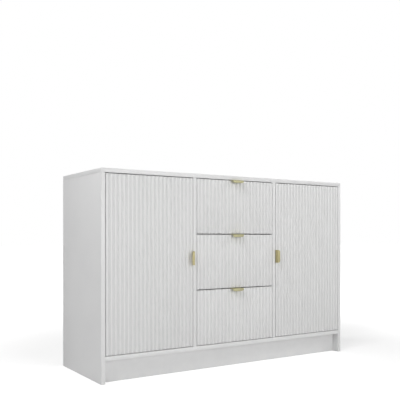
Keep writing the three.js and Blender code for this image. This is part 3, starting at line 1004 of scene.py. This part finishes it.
RUNNER_SHEET = 1.25 * MM
RUNNER_BEND = 1.2 * MM
WHEEL_RADIUS = 9.8 * MM
WHEEL_WIDTH = 7 * MM
WHEEL_INSET = 14 * MM
WHEEL_GAP = 0.6 * MM
AXLE_RISE = 10.5 * MM
ALONG_DEPTH = (0, 0, math.pi / 2)
RUNNER_SCREW_INSET = 40 * MM
RUNNER_SCREW_RADIUS = 3 * MM
RUNNER_SCREW_RISE = 0.5 * MM


def powder_coat_finish():
    """White powder coat on steel, with the fine orange peel of the baked coat."""
    material = shader("white_powder_coat", (0.78, 0.78, 0.77), 0.4)
    peel = grain(material, (1, 1, 1), 380.0, 2.0)
    tint(material, peel, (0.765, 0.765, 0.757), (0.79, 0.79, 0.783))
    vary_roughness(material, peel, 0.32, 0.46)
    raise_grain(material, peel, 0.05 * MM, 0.5)
    return material


POWDER_COAT = powder_coat_finish()


def folded_runner(name, section, span_y):
    """A runner along y, folded from sheet. The section's points are (x, z) on its middle plane."""
    length = span_y[1] - span_y[0]
    strip = bent_strip(name, [(-x, z) for x, z in section], length, RUNNER_BEND)
    thicken(strip, RUNNER_SHEET, 0.25 * MM)
    return moved(strip, (0, sum(span_y) / 2, 0), ALONG_DEPTH)


def wheel(name, place):
    """A nylon wheel with a shallow groove round its hub, on a steel rivet."""
    tread = rod(name, (0, 0, 0), WHEEL_RADIUS, WHEEL_WIDTH, ALONG_X, 40)
    for way in (-1, 1):
        select_faces(tread, lambda centre, normal: way * normal.x > 0.9)
        bpy.ops.mesh.inset(thickness=2 * MM)
        bpy.ops.mesh.inset(thickness=0.4 * MM, depth=-0.8 * MM)
        bpy.ops.mesh.inset(thickness=3 * MM)
        bpy.ops.mesh.inset(thickness=0.4 * MM, depth=0.8 * MM)
        bpy.ops.object.mode_set(mode="OBJECT")
    return moved(round_edges(tread, 0.5 * MM), place, (0, 0, 0))


for drawer in ("lower", "middle", "upper"):
    body = drawer + "_drawer"
    for side, outwards in (("left", -1), ("right", 1)):
        member_node = f"{body}_{side}_runner"
        channel_node = f"{drawer}_{side}_cabinet_runner"
        half = RUNNER_SHEET / 2
        low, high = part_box(member_node)
        side_low, side_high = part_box(f"{body}_{side}_side")
        foot_x, flange_x = (high.x, low.x) if outwards < 0 else (low.x, high.x)
        web_x = (side_low.x if outwards < 0 else side_high.x) + outwards * half
        section = [(foot_x, low.z + half), (web_x, low.z + half),
                   (web_x, high.z - half), (flange_x, high.z - half)]
        member = folded_runner(member_node + "_member", section, (low.y, high.y))
        fit(member, body, "white_steel", POWDER_COAT, member_node)
        wheel_x = web_x + outwards * (half + WHEEL_GAP + WHEEL_WIDTH / 2)
        axle_z = low.z + AXLE_RISE
        place = (wheel_x, high.y - WHEEL_INSET, axle_z)
        fit(wheel(member_node + "_wheel", place), body, "white_steel", PLASTIC)

        low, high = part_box(channel_node)
        wall_x, lip_x = (low.x, high.x) if outwards < 0 else (high.x, low.x)
        wall_x -= outwards * half
        section = [(lip_x, low.z + half), (wall_x, low.z + half),
                   (wall_x, high.z - half), (lip_x, high.z - half)]
        channel = folded_runner(channel_node + "_channel", section, (low.y, high.y))
        fit(channel, "carcass", "white_steel", POWDER_COAT, channel_node)
        inner_x = wall_x - outwards * half
        screw_ys = (low.y + RUNNER_SCREW_INSET, high.y - RUNNER_SCREW_INSET)
        spots = [(inner_x, y, (low.z + high.z) / 2) for y in screw_ys]
        screws(channel_node + "_screws", "carcass", RUNNER_SCREW_RADIUS, RUNNER_SCREW_RISE,
               (0, -outwards * math.pi / 2, 0), spots)
        wheel_x = wall_x - outwards * (half + WHEEL_GAP + WHEEL_WIDTH / 2)
        place = (wheel_x, low.y + WHEEL_INSET, axle_z + MM)
        fit(wheel(channel_node + "_wheel", place), "carcass", "white_steel", PLASTIC)

# ---------------------------------------------------------------- studio
# A pale floor that runs out into white surroundings, four soft lights round the front and the
# left side, and the camera before the left half.

FLOOR_SIZE = 60
MIDDLE = Vector((0, 0, 0.4))
GLOW_NEAR = 0.5
GLOW_FAR = 1.0
GLOW_START = 0.8
GLOW_END = 2.4


def floor_paint():
    """Matt white paint, lifted to paper white with distance, so that the floor has no far edge.
    The lift is only seen and lights nothing."""
    material = shader("studio_floor_paint", (0.85, 0.85, 0.85), 0.9)
    place = add_node(material, "ShaderNodeTexCoord").outputs["Object"]
    distance = material.node_tree.nodes.new("ShaderNodeVectorMath")
    distance.operation = "LENGTH"
    material.node_tree.links.new(place, distance.inputs[0])
    glow = add_node(
        material, "ShaderNodeMapRange", Value=distance.outputs["Value"],
        From_Min=GLOW_START, From_Max=GLOW_END, To_Min=GLOW_NEAR, To_Max=GLOW_FAR,
    )
    glow.interpolation_type = "SMOOTHSTEP"
    seen = material.node_tree.nodes.new("ShaderNodeLightPath").outputs["Is Camera Ray"]
    lift = material.node_tree.nodes.new("ShaderNodeMath")
    lift.operation = "MULTIPLY"
    material.node_tree.links.new(glow.outputs["Result"], lift.inputs[0])
    material.node_tree.links.new(seen, lift.inputs[1])
    principled = material.node_tree.nodes["Principled BSDF"]
    principled.inputs["Emission Color"].default_value = (1, 1, 1, 1)
    material.node_tree.links.new(lift.outputs["Value"], principled.inputs["Emission Strength"])
    return material


bpy.ops.object.select_all(action="DESELECT")
bpy.ops.mesh.primitive_plane_add(size=FLOOR_SIZE, location=(0, 0, 0))
floor = placed("studio_floor")
floor.data.materials.append(floor_paint())

world = bpy.data.worlds.new("studio_white")
world.use_nodes = True
backdrop = world.node_tree.nodes["Background"]
surroundings = world.node_tree.nodes.new("ShaderNodeBackground")
seen = world.node_tree.nodes.new("ShaderNodeLightPath")
choice = world.node_tree.nodes.new("ShaderNodeMixShader")
backdrop.inputs["Color"].default_value = (1, 1, 1, 1)
backdrop.inputs["Strength"].default_value = 1.0
surroundings.inputs["Color"].default_value = (1, 1, 1, 1)
surroundings.inputs["Strength"].default_value = 0.04
wires = world.node_tree.links
wires.new(seen.outputs["Is Camera Ray"], choice.inputs["Fac"])
wires.new(surroundings.outputs["Background"], choice.inputs[1])
wires.new(backdrop.outputs["Background"], choice.inputs[2])
wires.new(choice.outputs["Shader"], world.node_tree.nodes["World Output"].inputs["Surface"])
bpy.context.scene.world = world
bpy.context.scene.view_settings.view_transform = "Standard"


def soft_light(name, place, size, watts, target=MIDDLE):
    """A square soft light of some size that faces a target."""
    bpy.ops.object.select_all(action="DESELECT")
    aim = (target - Vector(place)).to_track_quat("-Z", "Y").to_euler()
    bpy.ops.object.light_add(type="AREA", location=place, rotation=aim)
    light = bpy.context.object
    light.name = name
    light.data.name = name
    light.data.size = size
    light.data.energy = watts
    return light


soft_light("rear_left_light", (-3.38, 1.95, 2.65), 2.0, 65)
soft_light("left_light", (-2.98, -1.72, 3.29), 2.0, 67)
soft_light("front_light", (0.54, -4.37, 1.34), 2.0, 74)
soft_light("right_light", (3.53, -1.65, 2.65), 2.0, 50)

height = cad_high.z
corner = Vector((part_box("left_side_panel")[0].x, FRONT_Y, 0))
bpy.ops.object.select_all(action="DESELECT")
bpy.ops.object.camera_add(
    location=corner + Vector((-1.1318, -2.5980, 0.6844)) * height,
    rotation=(math.pi / 2, 0, math.radians(-32.74)),
)
camera = bpy.context.object
camera.name = "studio_camera"
camera.data.sensor_width = 36
camera.data.lens = 54.88
camera.data.shift_y = 0.0905
camera.data.clip_end = 100
bpy.context.scene.camera = camera
